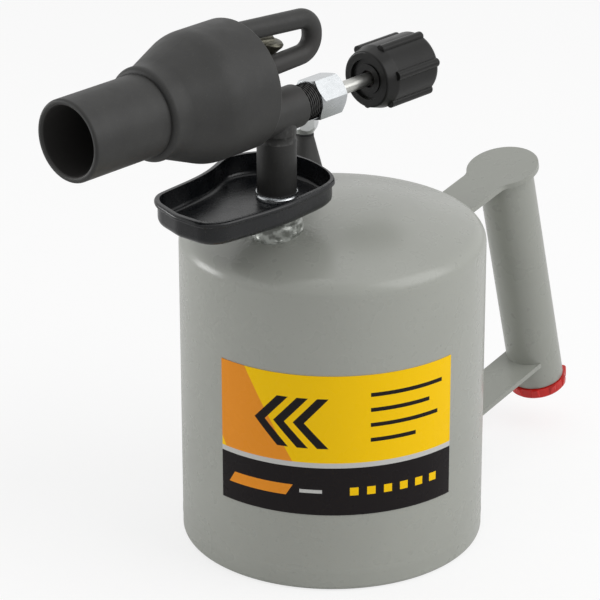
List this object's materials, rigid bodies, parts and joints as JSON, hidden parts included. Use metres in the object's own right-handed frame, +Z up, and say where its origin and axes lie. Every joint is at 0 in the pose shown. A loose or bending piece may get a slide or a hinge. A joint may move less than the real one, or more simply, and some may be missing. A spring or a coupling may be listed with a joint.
{
  "type": "petrol blow lamp",
  "caption": "Petrol blow lamp: a domed tank on a ring foot carries a riser, preheating tray, valve, vaporizer loop and flame tube, with a leaning pump handle behind.",
  "frame": {"origin": "centre of the tank's foot ring, on the plane the lamp stands on", "axes": "+Z up along the tank, -X the way the flame points, +X towards the pump handle, -Y the labelled side's right edge"},
  "size_m": [0.2692, 0.1158, 0.2165],
  "materials": {
    "tank_paint": "semi-gloss grey paint",
    "handle_paint": "semi-gloss grey paint",
    "label_print": "printed sheet with unlettered blocks of colour",
    "boss_zinc": "bright zinc plating with brazing round its foot",
    "burner_black": "matt charcoal heat-proof coat",
    "braze_black": "rough brazing under the coat",
    "copper": "drawn copper pipe",
    "brass": "turned brass",
    "tray_enamel": "glossy black enamel",
    "zinc": "bright zinc plating",
    "plug_zinc": "bright zinc plating",
    "graphite": "graphited cord",
    "fibre": "red vulcanised fibre",
    "knob_black": "moulded heat-proof plastic",
    "screw_steel": "zinc-plated steel",
    "burner_steel": "heat-tinted steel",
    "ring_iron": "cast iron with scale",
    "cone_coat": "matt charcoal coat",
    "rubber_black": "oil-proof rubber",
    "pump_alloy": "turned aluminium",
    "ball_steel": "polished steel",
    "rod_steel": "drawn steel rod",
    "cup_leather": "oiled leather",
    "knob_red": "moulded red plastic"
  },
  "bodies": {
    "lamp": {"tank_shell": "tank_paint", "tank_bottom": "tank_paint", "label": "label_print", "riser_boss": "boss_zinc", "riser_tube": "burner_black", "riser_weld": "braze_black", "pickup_tube": "copper", "pickup_strainer": "brass", "preheat_tray": "tray_enamel", "tray_nut": "zinc", "valve_body": "burner_black", "gland_packing": "graphite", "gland_nut": "zinc", "flame_tube": "burner_black", "flame_housing": "burner_black", "burner_head": "burner_steel", "mixing_tube": "burner_steel", "vaporizer_tube": "burner_black", "vaporizer_ring": "ring_iron", "jet_block": "brass", "jet_nozzle": "brass", "cleaning_plug": "zinc", "filler_neck": "cone_coat", "handle_tube": "handle_paint", "handle_top_bracket": "handle_paint", "handle_lower_bracket": "handle_paint", "air_tube": "handle_paint", "check_valve_body": "pump_alloy", "pump_guide": "pump_alloy"},
    "stem_washer": {"stem_washer": "fibre"},
    "valve_knob": {"valve_spindle": "zinc", "valve_knob": "knob_black", "knob_screw": "screw_steel"},
    "filler_gasket": {"filler_gasket": "rubber_black"},
    "filler_plug": {"filler_plug": "plug_zinc"},
    "pump": {"pump_rod": "rod_steel", "pump_piston": "pump_alloy", "pump_cup": "cup_leather", "piston_nut": "screw_steel", "pump_knob": "knob_red"},
    "check_ball": {"check_valve_ball": "ball_steel"}
  },
  "joints": [
    {"name": "valve_travel", "type": "slide", "parent": "lamp", "child": "stem_washer", "axis": [1, 0, 0], "range_m": [0, 0.0015]},
    {"name": "valve_turn", "type": "hinge", "parent": "stem_washer", "child": "valve_knob", "pos_m": [0.021, 0, 0.17592], "axis": [1, 0, 0], "range_deg": [0, 540]},
    {"name": "filler_lift", "type": "slide", "parent": "lamp", "child": "filler_gasket", "axis": [0, 0, 1], "range_m": [0, 0.005]},
    {"name": "filler_turn", "type": "hinge", "parent": "filler_gasket", "child": "filler_plug", "pos_m": [0.0151, 0.0284, 0.15], "axis": [0, 0, 1], "range_deg": [0, 1440]},
    {"name": "pump_stroke", "type": "slide", "parent": "lamp", "child": "pump", "axis": [0.2402, 0, -0.9707], "range_m": [0, 0.069]},
    {"name": "check_lift", "type": "slide", "parent": "lamp", "child": "check_ball", "axis": [-0.2402, 0, 0.9707], "range_m": [0, 0.0015]}
  ],
  "couplings": [
    {"joint": "valve_travel", "follows": "valve_turn", "m_per_rad": 0.00015915},
    {"joint": "filler_lift", "follows": "filler_turn", "m_per_rad": 0.00019894}
  ]
}
